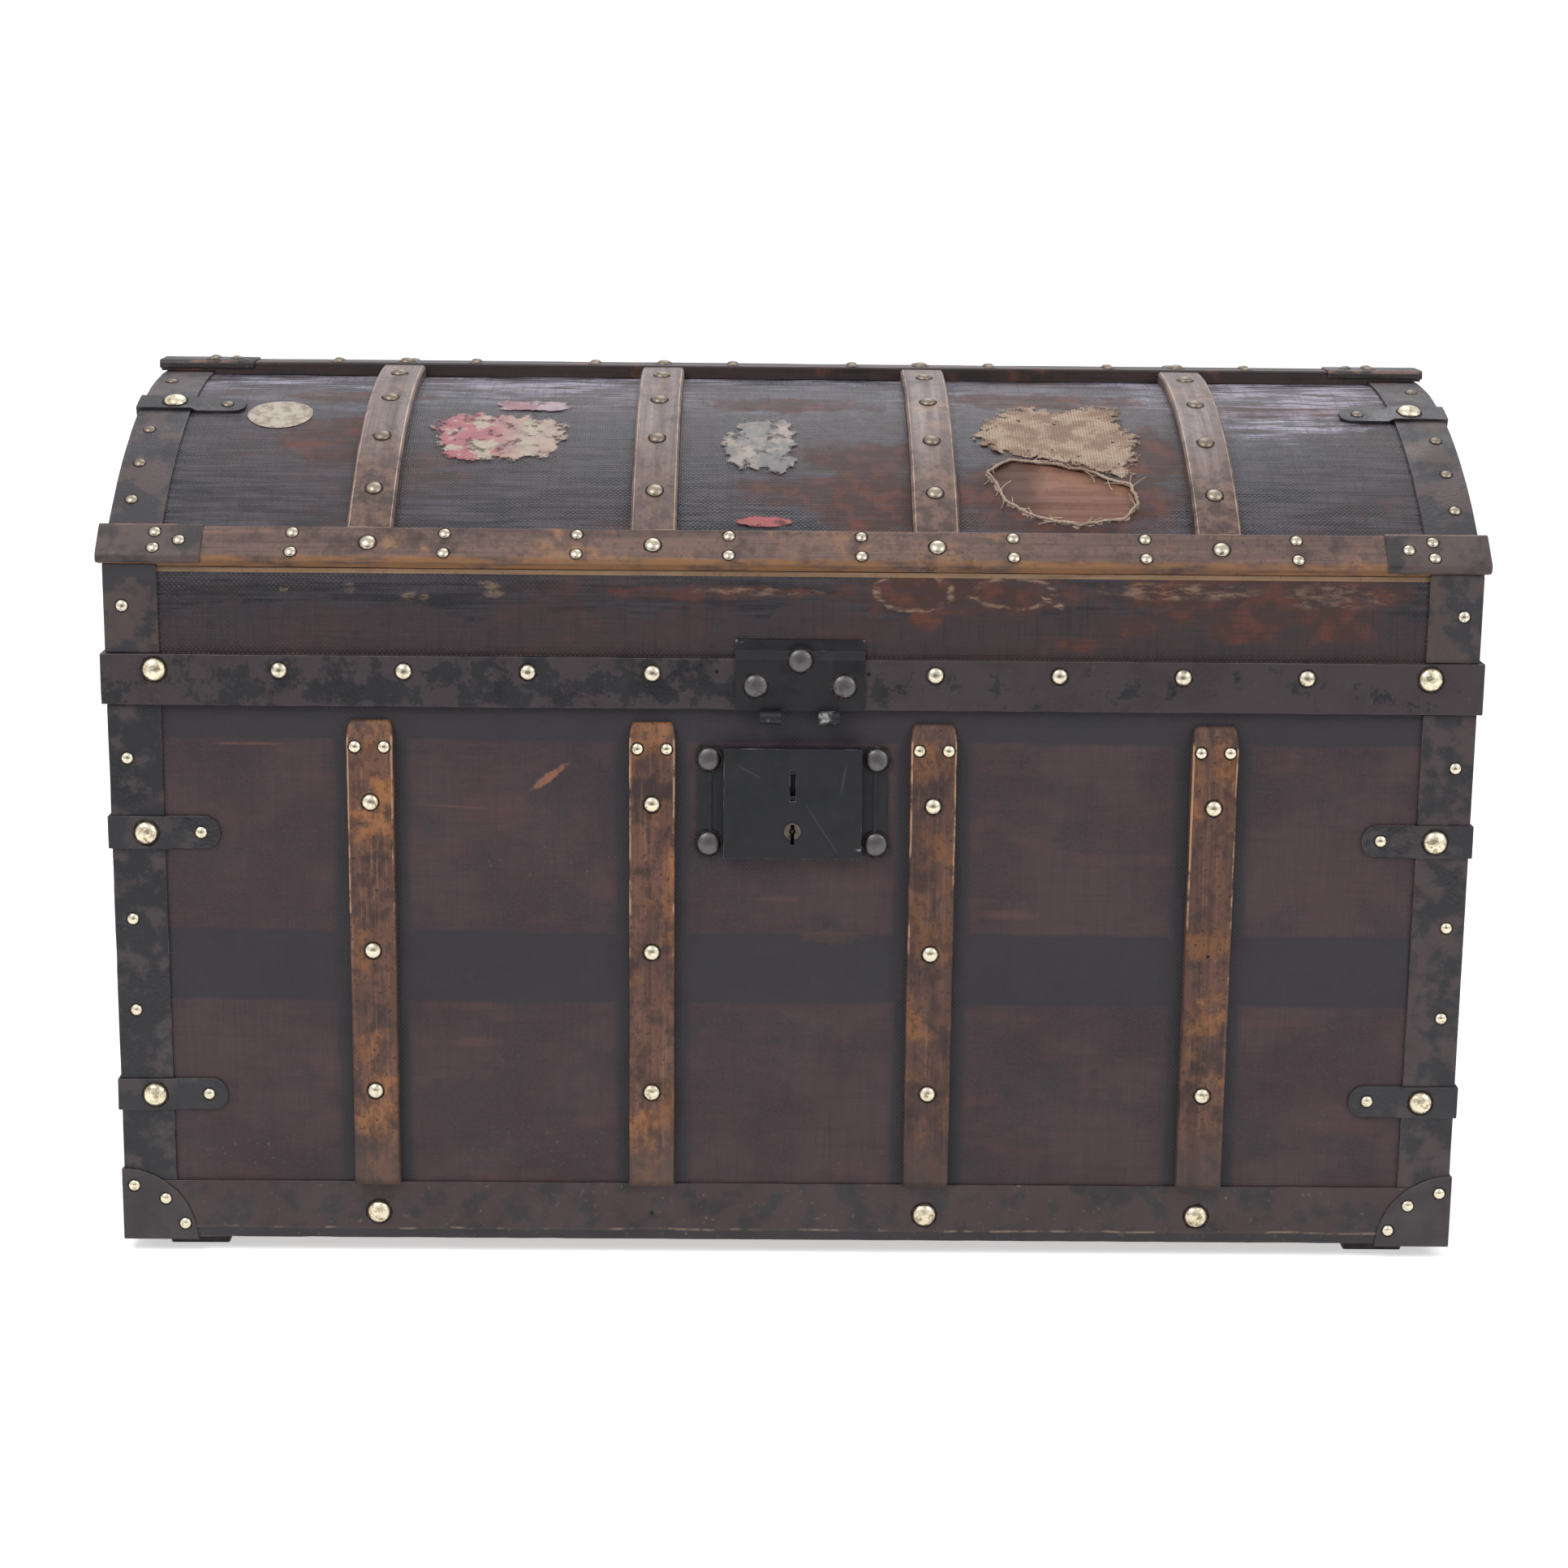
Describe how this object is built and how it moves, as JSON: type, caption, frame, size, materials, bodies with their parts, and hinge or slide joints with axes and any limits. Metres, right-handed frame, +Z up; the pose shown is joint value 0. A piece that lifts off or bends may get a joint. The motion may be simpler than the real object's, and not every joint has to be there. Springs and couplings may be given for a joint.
{
  "type": "dome top trunk",
  "caption": "Canvas covered board trunk with a hinged barrel lid, leather edge bindings, wooden slats, nails, a front lock with hasp plate and a drop handle on each end.",
  "frame": {"origin": "on the floor, under the middle of the trunk", "axes": "+X along the trunk to the right seen from the front, the front faces -Y, +Z up"},
  "size_m": [0.93, 0.529, 0.5796],
  "materials": {
    "board_wood": "bare softwood boards",
    "runner_wood": "dark worn hardwood",
    "slat_wood": "worn varnish",
    "dome_slat_wood": "greyed worn varnish",
    "batten_wood": "dark worn varnish",
    "body_canvas": "painted canvas, satin",
    "lid_canvas": "painted canvas, glossy",
    "lining": "plain paper backed cloth",
    "leather": "worn dark leather",
    "black_iron": "worn black paint",
    "steel": "dull steel",
    "brass": "aged brass"
  },
  "bodies": {
    "case": {"body_front_board": "board_wood", "body_back_board": "board_wood", "body_left_end": "board_wood", "body_right_end": "board_wood", "body_bottom_board": "board_wood", "body_canvas": "body_canvas", "body_lining": "lining", "bottom_runners": "runner_wood", "front_left_edge_binding": "leather", "front_right_edge_binding": "leather", "back_left_edge_binding": "leather", "back_right_edge_binding": "leather", "bottom_edge_bindings": "leather", "bottom_corner_caps": "leather", "body_straps": "leather", "front_slat_1": "slat_wood", "front_slat_2": "slat_wood", "front_slat_3": "slat_wood", "front_slat_4": "slat_wood", "back_slats": "slat_wood", "lock_plate": "black_iron", "lock_cover": "black_iron", "keyhole_escutcheon": "brass", "lock_studs": "steel", "handle_plate_left": "black_iron", "handle_plate_right": "black_iron", "handle_rivets": "steel", "hinge_body_leaves": "black_iron", "hinge_pins": "steel", "body_small_nails": "brass", "body_medium_nails": "brass", "body_large_nails": "brass"},
    "lid": {"lid_front_board": "board_wood", "lid_back_board": "board_wood", "lid_left_end": "board_wood", "lid_right_end": "board_wood", "dome_staves": "board_wood", "lid_canvas": "lid_canvas", "lid_lining": "lining", "lid_rim_band": "leather", "lid_corner_bindings": "leather", "dome_left_binding": "leather", "dome_right_binding": "leather", "front_batten": "batten_wood", "crest_batten": "batten_wood", "back_batten": "batten_wood", "batten_end_caps": "leather", "dome_front_slats": "dome_slat_wood", "dome_back_slats": "dome_slat_wood", "dome_straps": "leather", "hasp_plate": "black_iron", "hasp_studs": "steel", "hinge_lid_leaves": "black_iron", "lid_small_nails": "brass", "lid_medium_nails": "brass", "lid_large_nails": "brass"},
    "bolt": {"lock_bolt": "steel"},
    "left_bail": {"handle_bail_left": "black_iron"},
    "right_bail": {"handle_bail_right": "black_iron"}
  },
  "joints": [
    {"name": "lid_hinge", "type": "hinge", "parent": "case", "child": "lid", "pos_m": [0, 0.26, 0.3747], "axis": [-1, 0, 0], "range_deg": [0, 105]},
    {"name": "lock_bolt_slide", "type": "slide", "parent": "case", "child": "bolt", "axis": [-1, 0, 0], "range_m": [0, 0.01]},
    {"name": "left_bail_swing", "type": "hinge", "parent": "case", "child": "left_bail", "pos_m": [-0.457, 0, 0.262], "axis": [0, 1, 0], "range_deg": [0, 95]},
    {"name": "right_bail_swing", "type": "hinge", "parent": "case", "child": "right_bail", "pos_m": [0.457, 0, 0.262], "axis": [0, -1, 0], "range_deg": [0, 95]}
  ]
}
